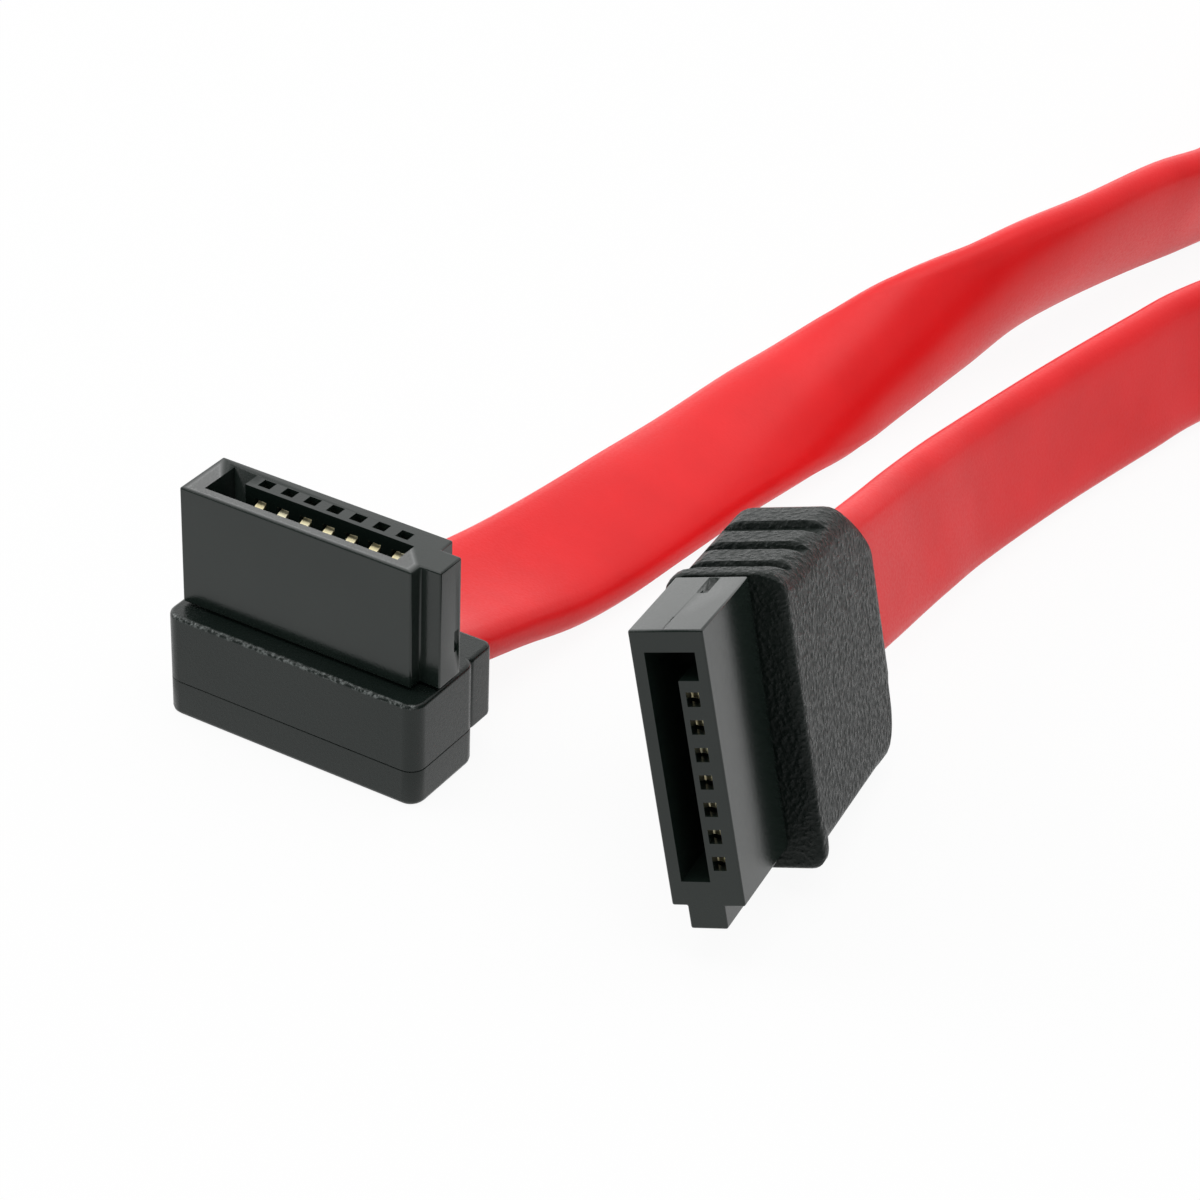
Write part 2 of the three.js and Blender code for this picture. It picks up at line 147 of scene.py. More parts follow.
print("the cable leaves the straight plug at", [round(c, 2) for c in exit_on_table], "mm")

# %% [markdown]
# ## A smooth line through the route
# Blender's own curves could carry the places and one tilt, but not a turn and a curl for each point,
# so the line is worked out here. A Catmull-Rom curve goes through all of its points, and the
# centripetal kind doesn't overshoot where they lie unevenly. All five numbers of a row are blended
# together.


# %% A smooth curve through the route
def spline_through(points, steps):
    """Centripetal Catmull-Rom samples of rows of numbers; the first three are the place."""
    rows = [Vector(p) for p in points]
    before = rows[0] * 2 - rows[1]
    after = rows[-1] * 2 - rows[-2]
    rows = [before, *rows, after]
    samples = []
    for a, b, c, d in zip(rows, rows[1:], rows[2:], rows[3:]):
        gaps = [math.sqrt((q - p).to_3d().length) for p, q in ((a, b), (b, c), (c, d))]
        out = ((b - a) / gaps[0] - (c - a) / (gaps[0] + gaps[1]) + (c - b) / gaps[1]) * gaps[1]
        into = ((c - b) / gaps[1] - (d - b) / (gaps[1] + gaps[2]) + (d - c) / gaps[2]) * gaps[1]
        for k in range(steps):
            t = k / steps
            samples.append(b + out * t + (b * -3 + c * 3 - out * 2 - into) * t ** 2
                           + (b * 2 - c * 2 + out + into) * t ** 3)
    samples.append(rows[-2])
    return samples


rings_per_point = 6
cable_line = spline_through(route, rings_per_point)

# %% [markdown]
# ## Small helpers for node trees
# A material is a tree of nodes joined by links. Written out, each node takes several lines, so a few
# helpers add one node each, feed its sockets, and hand back its output. A socket is fed either by a
# link from another node or by a plain value, and `feed` looks which of the two it was given.


# %% Helpers for node trees
def add_node(tree, kind, **settings):
    """A shader node of a kind, with settings that go on the node itself."""
    node = tree.nodes.new("ShaderNode" + kind)
    for key, value in settings.items():
        setattr(node, key, value)
    return node


def feed(tree, socket, value):
    """Links another node's output to a socket, or sets the socket to a plain value."""
    if hasattr(value, "is_output"):
        tree.links.new(value, socket)
    elif value is not None:
        socket.default_value = value


def math_node(tree, operation, first, second=None):
    node = add_node(tree, "Math", operation=operation)
    for socket, value in zip(node.inputs, (first, second)):
        feed(tree, socket, value)
    return node.outputs[0]


def noise_node(tree, vector, scale, detail, roughness=0.5):
    node = add_node(tree, "TexNoise")
    for title, value in (("Vector", vector), ("Scale", scale), ("Detail", detail),
                         ("Roughness", roughness)):
        feed(tree, node.inputs[title], value)
    return node.outputs["Fac"]


def map_range(tree, value, from_span=(0.0, 1.0), to_span=(0.0, 1.0)):
    """Takes a value from one span to another, held at the ends."""
    node = add_node(tree, "MapRange")
    feed(tree, node.inputs["Value"], value)
    limits = (*from_span, *to_span)
    for title, limit in zip(("From Min", "From Max", "To Min", "To Max"), limits):
        node.inputs[title].default_value = limit
    return node.outputs["Result"]


def mix_node(tree, kind, share, first, second):
    """Blends from first to second. A Mix node has sockets for all its kinds, found by number."""
    first_input, output = {"FLOAT": (2, 0), "RGBA": (6, 2)}[kind]
    node = add_node(tree, "Mix", data_type=kind)
    feed(tree, node.inputs["Factor"], share)
    feed(tree, node.inputs[first_input], first)
    feed(tree, node.inputs[first_input + 1], second)
    return node.outputs[output]


def new_group(name, inputs, outputs):
    """An empty node group with named sockets, and its input and output nodes."""
    group = bpy.data.node_groups.new(name, "ShaderNodeTree")
    for title, kind, value in inputs:
        item = group.interface.new_socket(name=title, in_out="INPUT", socket_type=kind)
        if value is not None:
            item.default_value = value
    for title, kind in outputs:
        group.interface.new_socket(name=title, in_out="OUTPUT", socket_type=kind)
    return group, group.nodes.new("NodeGroupInput"), group.nodes.new("NodeGroupOutput")


print("node helpers ready")

# %% [markdown]
# ## Effects that finishes share, as node groups
# Three effects are used by several finishes: the grain that a spark-eroded mould leaves on plastic,
# the slow change of tone over any moulding, and the rubbed rims, whose lighter spots are partly wear
# and partly a painted glint. They could be copied into each material, but a node group is built once,
# and each material sets its own values on its named inputs. The groups only put out masks and heights;
# the shader stays in the material.
#
# The grain is noise with the cells of a Voronoi texture taken from it, which leaves soft lumps with
# pits between them.

# %% The grain of a mould
pit_span = (0.1, 0.45)
grain, grain_in, grain_out = new_group(
    "mould_grain",
    [("Vector", "NodeSocketVector", None), ("Size", "NodeSocketFloat", 3.0)],
    [("Height", "NodeSocketFloat"), ("Pits", "NodeSocketFloat")])
lumps = noise_node(grain, grain_in.outputs["Vector"], grain_in.outputs["Size"], 3.0, 0.6)
cells = add_node(grain, "TexVoronoi", feature="SMOOTH_F1")
feed(grain, cells.inputs["Vector"], grain_in.outputs["Vector"])
feed(grain, cells.inputs["Scale"], math_node(grain, "MULTIPLY", grain_in.outputs["Size"], 1.3))
cell_share = math_node(grain, "MULTIPLY", cells.outputs["Distance"], 0.5)
grain_height = math_node(grain, "SUBTRACT", lumps, cell_share)
feed(grain, grain_out.inputs["Height"], grain_height)
feed(grain, grain_out.inputs["Pits"], map_range(grain, grain_height, pit_span))
print("group:", grain.name)

# %% [markdown]
# No moulding has one flat tone. Cloud is a slow, wide change of colour. Flow is finer and drawn out
# along the piece, as plastic flows and as metal is drawn.

# %% The tone of a moulding
flow_stretch = (1.0, 1.0, 0.12)
flow_fineness = 8.0
tone, tone_in, tone_out = new_group(
    "moulded_tone",
    [("Vector", "NodeSocketVector", None), ("Size", "NodeSocketFloat", 0.12)],
    [("Cloud", "NodeSocketFloat"), ("Flow", "NodeSocketFloat")])
cloud = noise_node(tone, tone_in.outputs["Vector"], tone_in.outputs["Size"], 3.0)
feed(tone, tone_out.inputs["Cloud"], cloud)
stretch = add_node(tone, "Mapping")
stretch.inputs["Scale"].default_value = flow_stretch
feed(tone, stretch.inputs["Vector"], tone_in.outputs["Vector"])
flow_size = math_node(tone, "MULTIPLY", tone_in.outputs["Size"], flow_fineness)
feed(tone, tone_out.inputs["Flow"], noise_node(tone, stretch.outputs["Vector"], flow_size, 2.0))
print("group:", tone.name)

# %% [markdown]
# Handling rubs a moulding's rim in spots, and the finish paints those spots lighter: partly the wear,
# partly a painted glint. The mask is a noise cut to small patches, times how much the piece says that
# its rim is rubbed at that point.

# %% Rubbed rims, with painted glints
# the mask of the rim's lighter spots: partly wear, partly a painted glint
wear_glint_span = (0.46, 0.62)
rubbed_glint, rubbed_glint_in, rubbed_glint_out = new_group(
    "rubbed_rim_glint",
    [("Vector", "NodeSocketVector", None), ("Rim", "NodeSocketFloat", 0.0),
     ("Size", "NodeSocketFloat", 5.0)],
    [("Mask", "NodeSocketFloat")])
wear_glint_noise = noise_node(rubbed_glint, rubbed_glint_in.outputs["Vector"], rubbed_glint_in.outputs["Size"], 4.0, 0.7)
wear_glint_mask = map_range(rubbed_glint, wear_glint_noise, wear_glint_span)
feed(rubbed_glint, rubbed_glint_out.inputs["Mask"],
     math_node(rubbed_glint, "MULTIPLY", wear_glint_mask, rubbed_glint_in.outputs["Rim"]))
print("group:", rubbed_glint.name)

# %% [markdown]
# ## The finishes
# Each material has one Principled shader. Helpers place a group, ramp a mask between two shades, and
# turn a height into a bump too fine to model.


# %% Helpers for every finish
tone_low, tone_high = 0.3, 0.7  # where the noise of a tone reaches its darkest and lightest shade


def new_material(name, **shader_values):
    """A material whose shader has some values; an underscore in a value's name is a space."""
    material = bpy.data.materials.new(name)
    material.use_nodes = True
    tree = material.node_tree
    tree.nodes.clear()
    shader = add_node(tree, "BsdfPrincipled")
    output = add_node(tree, "OutputMaterial")
    feed(tree, output.inputs["Surface"], shader.outputs["BSDF"])
    for title, value in shader_values.items():
        shader.inputs[title.replace("_", " ")].default_value = value
    return material, tree, shader


def place_group(tree, group, vector, **values):
    node = add_node(tree, "Group", node_tree=group)
    feed(tree, node.inputs["Vector"], vector)
    for title, value in values.items():
        feed(tree, node.inputs[title], value)
    return node


def shades(tree, value, dark, light):
    """Colour from a dark to a light shade as a tone rises."""
    node = add_node(tree, "ValToRGB")
    for stop, place, colour in zip(node.color_ramp.elements, (tone_low, tone_high), (dark, light)):
        stop.position = place
        stop.color = (*colour, 1)
    feed(tree, node.inputs["Fac"], value)
    return node.outputs["Color"]


def bump(tree, shader, height, distance):
    """Fine relief, distance metres deep where the height goes from 0 to 1."""
    node = add_node(tree, "Bump")
    node.inputs["Distance"].default_value = distance
    node.inputs["Strength"].default_value = 1.0
    feed(tree, node.inputs["Height"], height)
    feed(tree, shader.inputs["Normal"], node.outputs["Normal"])


print("finish helpers ready")

# %% [markdown]
# The plugs are moulded in black plastic: the noses smooth and fairly glossy, the hood a little more
# matt, and the overmould in a coarser, leathery grain. The difference is in the values, so one
# function makes all three. Each new piece carries where every point of it lies in its plug, in
# millimetres, in an attribute named laid_out, so that the grain keeps its size and its hold on the
# piece, however the plug is turned. A second attribute, rim, says how much a point is rubbed; there
# the finish paints lighter spots, partly wear and partly a painted glint.

# %% Black plastics
rubbed_gloss = 0.25


def plastic(name, dark, light, rough, grain_size, grain_depth,
            rubbed_glint_colour=(0.12, 0.13, 0.125), **shader_values):
    """Moulded plastic; rough is its roughness on the lumps and in the pits of the grain."""
    material, tree, shader = new_material(name, **shader_values)
    where = add_node(tree, "Attribute", attribute_name="laid_out").outputs["Vector"]
    rim = add_node(tree, "Attribute", attribute_name="rim").outputs["Fac"]
    grained = place_group(tree, grain, where, Size=grain_size)
    toned = place_group(tree, tone, where)
    # The rubbed spots get a lighter base colour: partly wear, partly a painted glint on the rim.
    wear_and_glint = place_group(tree, rubbed_glint, where, Rim=rim).outputs["Mask"]
    moulded = shades(tree, toned.outputs["Cloud"], dark, light)
    feed(tree, shader.inputs["Base Color"],
         mix_node(tree, "RGBA", wear_and_glint, moulded, (*rubbed_glint_colour, 1)))
    on_lumps, in_pits = rough
    matt = map_range(tree, grained.outputs["Pits"], to_span=(in_pits, on_lumps))
    smoothed = math_node(tree, "MULTIPLY", wear_and_glint, rubbed_gloss)
    feed(tree, shader.inputs["Roughness"], math_node(tree, "SUBTRACT", matt, smoothed))
    bump(tree, shader, grained.outputs["Height"], grain_depth)
    return material


housing_plastic = plastic(
    "housing_plastic", (0.006, 0.011, 0.009), (0.011, 0.017, 0.014), (0.14, 0.22),
    9.0, 0.000004, Specular_IOR_Level=0.42)
# The hood's rubbed colour, a lighter grey, paints its front rim's spots: partly wear, partly a painted
# glint.
hood_plastic = plastic(
    "hood_plastic", (0.006, 0.011, 0.009), (0.010, 0.015, 0.013), (0.24, 0.36),
    7.0, 0.000006, rubbed_glint_colour=(0.16, 0.175, 0.17), Specular_IOR_Level=0.33)
overmould_plastic = plastic(
    "overmould_plastic", (0.004, 0.007, 0.006), (0.009, 0.013, 0.011), (0.26, 0.5),
    3.6, 0.0001, Specular_IOR_Level=0.16)
print("black plastics:", [m.name for m in bpy.data.materials])

# %% [markdown]
# The contacts, the cores and the drain wires are CAD pieces without our attributes, so their finishes
# read Object coordinates, in metres: that is why the size of their tone is a large number. A plated
# contact is metal with a warm tint and a soft gloss, a tinned wire is greyer and glossier, and a
# core's insulation is off-white plastic.


# %% Finishes of the small CAD pieces
def small_piece_finish(name, dark, light, rough, tone_size, **shader_values):
    material, tree, shader = new_material(name, **shader_values)
    where = add_node(tree, "TexCoord").outputs["Object"]
    toned = place_group(tree, tone, where, Size=tone_size)
    feed(tree, shader.inputs["Base Color"], shades(tree, toned.outputs["Cloud"], dark, light))
    feed(tree, shader.inputs["Roughness"],
         map_range(tree, toned.outputs["Flow"], to_span=rough))
    return material


core_plastic = small_piece_finish(
    "core_plastic", (0.68, 0.67, 0.63), (0.80, 0.79, 0.76), (0.4, 0.55), 900.0)
gold_plating = small_piece_finish(
    "gold_plating", (0.98, 0.86, 0.50), (1.0, 0.95, 0.70), (0.40, 0.55), 900.0, Metallic=1.0)
tinned_wire = small_piece_finish(
    "tinned_wire", (0.60, 0.60, 0.61), (0.78, 0.78, 0.80), (0.25, 0.45), 1500.0, Metallic=1.0)
print("small pieces:", core_plastic.name, gold_plating.name, tinned_wire.name)

# %% [markdown]
# The jacket is soft red plastic, extruded, so its surface is smooth with a satin gloss and only a
# breath of grain. It reads laid_out too, which holds the place across, through and along the cable, so
# the pattern follows the twist and the loop.

# %% The red jacket
jacket_plastic, tree, shader = new_material("jacket_plastic", Specular_IOR_Level=0.33)
laid_out = add_node(tree, "Attribute", attribute_name="laid_out").outputs["Vector"]
toned = place_group(tree, tone, laid_out, Size=0.25)
grained = place_group(tree, grain, laid_out, Size=6.0)
feed(tree, shader.inputs["Base Color"],
     shades(tree, toned.outputs["Cloud"], (0.78, 0.007, 0.010), (0.86, 0.010, 0.014)))
feed(tree, shader.inputs["Roughness"],
     map_range(tree, grained.outputs["Pits"], to_span=(0.46, 0.36)))
bump(tree, shader, grained.outputs["Height"], 0.000008)
print("jacket:", jacket_plastic.name)

# %% [markdown]
# ## The cable's jacket
# The jacket is one soft extrusion, so the mesh is a sweep: draw the section once, then extrude its
# edge loop and move each new loop to the next place on the route. A curve object with a bevel profile
# could do it too, but it can't curl the section. The section is a bar with round edges and a faint
# waist, because two round pairs lie side by side under the jacket.


# %% The section of the flat cable
def section_points(width, thickness, waist, side_steps, end_steps):
    """Half round ends joined by two sides that dip a little in the middle."""
    r = thickness / 2
    flat = width / 2 - r
    points = []
    for side in (1, -1):
        for k in range(end_steps + 1):
            angle = math.pi * (k / end_steps - 0.5)
            points.append((side * (flat + r * math.cos(angle)), side * r * math.sin(angle)))
        for k in range(1, side_steps):
            x = flat * (1 - 2 * k / side_steps)
            dip = waist * math.cos(math.pi * x / flat / 2) ** 2
            points.append((side * x, side * (r - dip)))
    return points


cable_waist = 0.05
cable_section = section_points(cable_width, cable_thickness, cable_waist,
                               side_steps=8, end_steps=6)
print("points round the section:", len(cable_section))

# %% [markdown]
# Each ring of the sweep needs a stand: three axes for its width, its thickness and the run of the
# cable, turned about the run by the row's angle. Before it is put there, the flat part of the section
# is bent into an arc, by the row's curl, with its length kept.

# %% How a ring stands and curls
nearly_flat = 0.01  # degrees of curl, so that a flat section doesn't divide by nothing


def ring_matrix(line, i):
    """Where the section stands at sample i: its width, its thickness and the run as columns."""
    here, ahead, behind = line[i], line[min(i + 1, len(line) - 1)], line[max(i - 1, 0)]
    run = (ahead - behind).to_3d().normalized()
    left = Vector((0, 0, 1)).cross(run).normalized()
    up = run.cross(left)
    turn = math.radians(here[3])
    wide = left * math.cos(turn) + up * math.sin(turn)
    thick = up * math.cos(turn) - left * math.sin(turn)
    basis = Matrix((wide, thick, run)).transposed().to_4x4()
    return Matrix.Translation(here.to_3d()) @ basis


def curled(across, through, curl):
    """Where a point of the flat section goes when its flat part is bent by curl degrees."""
    flat = (cable_width - cable_thickness) / 2
    level = max(-flat, min(flat, across))
    bend = math.radians(max(curl, nearly_flat)) / (2 * flat)
    angle = bend * level
    beyond = across - level
    x = math.sin(angle) / bend + beyond * math.cos(angle) + through * math.sin(angle)
    y = (math.cos(angle) - 1) / bend - beyond * math.sin(angle) + through * math.cos(angle)
    return Vector((x, y, 0))


print("an edge at 90 degrees of curl:", curled(cable_width / 2, 0, 90).to_2d())

# %% [markdown]
# `extrude_edge_only` makes the walls ring by ring, and the two ends are closed with a face. A vector
# stored on each vertex keeps where it lies across, through and along the cable. An extruded vertex
# takes over the values of the one it came from, so only the place along has to be written anew.


# %% Sweep the section along the route
def sweep(line, section):
    bm = bmesh.new()
    laid = bm.verts.layers.float_vector.new("laid_out")

    def settle(ring, i, along):
        stand = ring_matrix(line, i)
        for vert in ring:
            across, through, _ = vert[laid]
            vert[laid] = (across, through, along)
            vert.co = stand @ curled(across, through, line[i][4])

    ring = [bm.verts.new((x, y, 0)) for x, y in section]
    for vert in ring:
        vert[laid] = vert.co
    edges = [bm.edges.new((a, b)) for a, b in zip(ring, ring[1:] + ring[:1])]
    settle(ring, 0, 0.0)
    bm.faces.new(ring)
    along = 0.0
    for i in range(1, len(line)):
        made = bmesh.ops.extrude_edge_only(bm, edges=edges)["geom"]
        ring = [g for g in made if isinstance(g, bmesh.types.BMVert)]
        ring_set = set(ring)
        edges = [g for g in made
                 if isinstance(g, bmesh.types.BMEdge) and set(g.verts) <= ring_set]
        along += (line[i] - line[i - 1]).to_3d().length
        settle(ring, i, along)
    bmesh.ops.contextual_create(bm, geom=edges)
    return bm


jacket_mesh = sweep(cable_line, cable_section)
print("vertices of the jacket:", len(jacket_mesh.verts))

# %% [markdown]
# ## From a mesh to a piece
# Every new piece is finished the same way: its mesh is put on the table in metres, with its normals
# outwards, its object stays at the origin and rides on the root, and the CAD pieces it stands for are
# hidden. Smooth shading with sharp corners kept makes rounds look round. On a softened block the
# Weighted Normal modifier lets the large flats lead, so that the small rounds beside them don't make
# them look dented.


# %% Make a piece, and shade it
def sort_faces(bm):
    """Puts the faces in the order of their vertices; an operator's own order varies from run to run."""
    bm.verts.index_update()
    count = len(bm.verts)

    def by_vertices(face):
        numbers = [vert.index for vert in face.verts]
        return min(numbers) * count + sum(numbers) / len(numbers)

    bm.faces.sort(key=by_vertices)


def make_piece(name, bm, place, material, slot, *replaced):
    """Puts a mesh in a plug's millimetres on the table in metres, and hides the CAD pieces that it
    replaces.
    """
    if "laid_out" not in bm.verts.layers.float_vector:
        laid = bm.verts.layers.float_vector.new("laid_out")
        for vert in bm.verts:
            vert[laid] = vert.co
    bmesh.ops.transform(bm, matrix=Matrix.Scale(MM, 4) @ place, verts=bm.verts)
    bmesh.ops.recalc_face_normals(bm, faces=bm.faces)
    sort_faces(bm)
    mesh = bpy.data.meshes.new(name)
    bm.to_mesh(mesh)
    bm.free()
    mesh.materials.append(material)
    piece = bpy.data.objects.new(name, mesh)
    scene.collection.objects.link(piece)
    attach(piece, "root")
    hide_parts(*replaced)
    return piece


def shade_smooth_by_angle(piece, degrees, flats_lead=True):
    """Smooth shading that breaks where two faces meet at more than an angle."""
    mesh = piece.data
    mesh.polygons.foreach_set("use_smooth", [True] * len(mesh.polygons))
    mesh.set_sharp_from_angle(angle=math.radians(degrees))
    if flats_lead:
        weighted = piece.modifiers.new("flats_lead", "WEIGHTED_NORMAL")
        weighted.weight = 100
        weighted.keep_sharp = True


cable = make_piece("flat_cable", jacket_mesh, Matrix(), jacket_plastic, "jacket_red", "cable_jacket")
shade_smooth_by_angle(cable, 50, flats_lead=False)
print("cable faces:", len(cable.data.polygons))

# %% [markdown]

# %% [markdown]
# ## The two moulded noses
# The nose holds the L-shaped slot and the seven contact channels. It could be modelled anew, but its
# CAD solid is already exact, so a copy is taken. Merging the copy's loose triangles and dissolving the
# flat ones gives clean faces whose edges can be bevelled: a mould never leaves a knife edge, and the
# small round is what catches the light.

# %% Softened copies of the housings
nose_long, nose_thick = 12.8, 3.35
nose_root = -6.3
nose_round = 0.1
near = 0.01
same_place = 0.001
same_plane = math.radians(1)
real_corner = math.radians(30)


def copy_in_plug_frame(node_name, place):
    """A merged copy of a CAD node's mesh, in millimetres in its plug's own frame."""
    bm = bmesh.new()
    bm.from_mesh(nodes[node_name].data)
    bmesh.ops.transform(bm, matrix=(Matrix.Scale(MM, 4) @ place).inverted(), verts=bm.verts)
    bmesh.ops.remove_doubles(bm, verts=bm.verts, dist=same_place)
    bmesh.ops.dissolve_limit(bm, angle_limit=same_plane, verts=bm.verts, edges=bm.edges)
    return bm


def soften_nose(bm):
    """Rounds the corners between the nose's outer walls, and between those and its front."""
    def on_outline(co):
        return co.z > nose_root and (co.x < near or co.x > nose_long - near
                                     or co.y < near or co.y > nose_thick - near)

    corners = [e for e in bm.edges
               if len(e.link_faces) == 2 and e.calc_face_angle(0) > real_corner
               and on_outline(e.verts[0].co) and on_outline(e.verts[1].co)]
    bmesh.ops.bevel(bm, geom=corners, offset=nose_round, segments=3, profile=0.5,
                    affect="EDGES", clamp_overlap=False, material=-1)
    bm.normal_update()
    return len(corners)


places = {"straight": straight_place, "angled": angled_place}
noses = {side: copy_in_plug_frame(side + "_housing", place) for side, place in places.items()}
for side, bm in noses.items():
    print(side, "nose: corners rounded", soften_nose(bm))

# %% [markdown]
# The top of the straight plug's nose has a sunk window and a faint line in the mould, and the end of
# the right-angle plug's rib has a smaller window. Each could be cut with a boolean, but a wall is
# flat, so it is enough to bisect it along the window's four sides, then inset the part inside and push
# it in.

# %% Press the windows in
squarely = 0.99
level_slack = 0.02
window_slope = 0.03


def press_in(bm, facing, level, across, along, depth):
    """Sinks a window of the wall at X = level that faces along X; across is in Y, along in Z."""
    window = ((1, *across), (2, *along))

    def wall():
        return [f for f in bm.faces if f.normal.x * facing > squarely
                and abs(f.calc_center_median().x - level) < level_slack]

    def in_window(centre):
        return all(low < centre[axis] < high for axis, low, high in window)

    for axis, low, high in window:
        for value in (low, high):
            faces = wall()
            around = [part for f in faces for part in (*f.edges, *f.verts)]
            place, normal = Vector(), Vector()
            place[axis], normal[axis] = value, 1
            bmesh.ops.bisect_plane(bm, geom=faces + list(dict.fromkeys(around)),
                                   plane_co=place, plane_no=normal)
    bm.normal_update()
    sunk = [f for f in wall() if in_window(f.calc_center_median())]
    bmesh.ops.inset_region(bm, faces=sunk, thickness=window_slope, depth=-depth)
    bm.normal_update()


window_depth = 0.3
line_depth = 0.05
rib_end = 13.9
press_in(noses["straight"], -1, 0.0, (1.64, 2.14), (-5.85, -4.1), window_depth)
press_in(noses["straight"], -1, 0.0, (1.52, 1.6), (-1.45, -0.12), line_depth)
press_in(noses["angled"], 1, rib_end, (1.85, 2.2), (-4.8, -3.7), window_depth)
for side, bm in noses.items():
    nose = make_piece(side + "_nose", bm, places[side], housing_plastic, "housing_black",
                      side + "_housing")
    shade_smooth_by_angle(nose, 35)
    print(nose.name, len(nose.data.polygons), "faces")

# %% [markdown]
# ## The mouldings as stacks of rounded rectangles
# The overmould, the hood, its collar and the cover are all soft blocks. A bevelled cube could serve,
# but their sizes change along the plug, so each is a stack of rounded rectangles, every one with its
# own size, and a skin over them. `bridge_loops` joins each ring to the one before it. Rings close
# together make the rounded rims. Each ring also says how much it is rubbed, which the finish paints as
# lighter spots: partly wear, partly a painted glint.


# %% A skin over a stack of rings
def rounded_ring(bm, z, x0, x1, y0, y1, r, clip=0.0, rim=0.0, key_share=1.0, steps=6):
    """One rounded rectangle as a loop of edges at height z, clipped flat at both ends of X.

    key_share makes the corner at the key rib's end of the high Y side tighter than r.
    """
    # rim is how much the ring is rubbed; the finish paints it as lighter spots, partly wear and partly
    # a painted glint.
    layer = bm.verts.layers.float["rim"]
    ring = []
    k = r * key_share
    for cx, cy, radius, start in ((x1 - k, y1 - k, k, 0), (x0 + r, y1 - r, r, 90),
                                  (x0 + r, y0 + r, r, 180), (x1 - r, y0 + r, r, 270)):
        for step in range(steps + 1):
            angle = math.radians(start + 90 * step / steps)
            x = max(x0 + clip, min(x1 - clip, cx + radius * math.cos(angle)))
            ring.append(bm.verts.new((x, cy + radius * math.sin(angle), z)))
            ring[-1][layer] = rim
    return [bm.edges.new((a, b)) for a, b in zip(ring, ring[1:] + ring[:1])]


def skin(rows, key_share=1.0):
    """A closed mesh over rows of ring sizes; its last ring is at the other end of the piece."""
    bm = bmesh.new()
    bm.verts.layers.float.new("rim")
    last = first = rounded_ring(bm, *rows[0], key_share=key_share)
    for row in rows[1:]:
        edges = rounded_ring(bm, *row, key_share=key_share)
        bmesh.ops.bridge_loops(bm, edges=last + edges)
        last = edges
    bmesh.ops.contextual_create(bm, geom=first)
    bmesh.ops.contextual_create(bm, geom=last)
    return bm


print("ring helpers ready")

# %% [markdown]
# The overmould has a lip round its front, three grip grooves on each narrow side, a shoulder that
# slopes in towards the cable, and a short neck. A groove is cut straight across a narrow side, so its
# rings keep their corners and are only clipped flat at that side. The corner beside the key rib on
# the high Y side is a little tighter than the others, as the photograph shows.

# %% Straight plug: the overmould's rings, as z, X from and to, Y from and to, and corner
grip_size = (0.3, 13.35, -0.75, 4.8, 1.2)
lip_rows = [
    (-6.15, 0.05, 13.7, -0.3, 4.35, 0.8),
    (-6.17, 0.0, 13.9, -0.53, 4.58, 1.0),
    (-6.24, -0.04, 14.0, -0.71, 4.76, 1.15),
    (-6.4, -0.06, 14.1, -0.8, 4.85, 1.2),
    (-6.8, -0.06, 14.1, -0.8, 4.85, 1.2),
    (-6.95, 0.0, 14.0, -0.79, 4.84, 1.2),
    (-7.1, 0.18, 13.6, -0.76, 4.81, 1.2),
    (-7.2, *grip_size),
]
shoulder_rows = [
    (-15.0, *grip_size),
    (-15.35, 0.4, 13.35, -0.75, 4.8, 1.1),
    (-16.4, 1.28, 13.33, -0.75, 4.8, 0.95),
    (-16.8, 1.66, 13.2, -0.75, 4.8, 0.9),
    (-17.15, 2.0, 12.9, -0.75, 4.8, 0.9),
    (-17.4, 2.26, 12.5, -0.75, 4.8, 0.9),
    (-17.6, 2.46, 11.9, -0.74, 4.79, 0.9),
]
neck_rows = [
    (-17.7, 2.56, 10.6, -0.73, 4.78, 0.9),
    (-18.0, 2.88, 10.25, -0.68, 4.73, 0.9),
    (-18.25, 3.15, 10.1, -0.54, 4.59, 0.9),
    (-18.36, 3.3, 9.95, -0.38, 4.43, 0.9),
    (straight_back, 3.5, 9.75, -0.15, 4.2, 0.8),
]
print("rings of the lip, shoulder and neck:", len(lip_rows), len(shoulder_rows), len(neck_rows))

# %% Straight plug: grooves and overmould
overmould_front = -6.0
grooves = [(1.95, 0.5), (4.0, 0.75), (6.25, 1.05)]  # each one's start behind the front, and width
groove_depth = 0.34
groove_shoulder = 0.12
shoulder_run = 0.1
wall_run = 0.08
key_corner_share = 0.6

groove_rows = []
for behind, width in grooves:
    start = overmould_front - behind
    end = start - width
    for z, depth in ((start + shoulder_run, 0.0), (start, groove_shoulder),
                     (start - wall_run, groove_depth), (end + wall_run, groove_depth),
                     (end, groove_shoulder), (end - shoulder_run, 0.0)):
        groove_rows.append((z, *grip_size, depth))
bm = skin(lip_rows + groove_rows + shoulder_rows + neck_rows, key_share=key_corner_share)
overmould = make_piece("straight_grip", bm, straight_place, overmould_plastic, "grained_black",
                       "straight_overmould")
shade_smooth_by_angle(overmould, 40)
print("overmould faces:", len(overmould.data.polygons))

# %% [markdown]
# The right-angle plug's hood, the collar behind it and the cover under it are plain blocks, so one
# function works out their rings: each rounded rim is a quarter circle in four rings. The hood and the
# cover are two mouldings, and the thin gap between them is the seam that the photograph shows. Only
# the hood's front rim is rubbed, and its finish paints the rubbed spots lighter: partly wear, partly a
# painted glint.

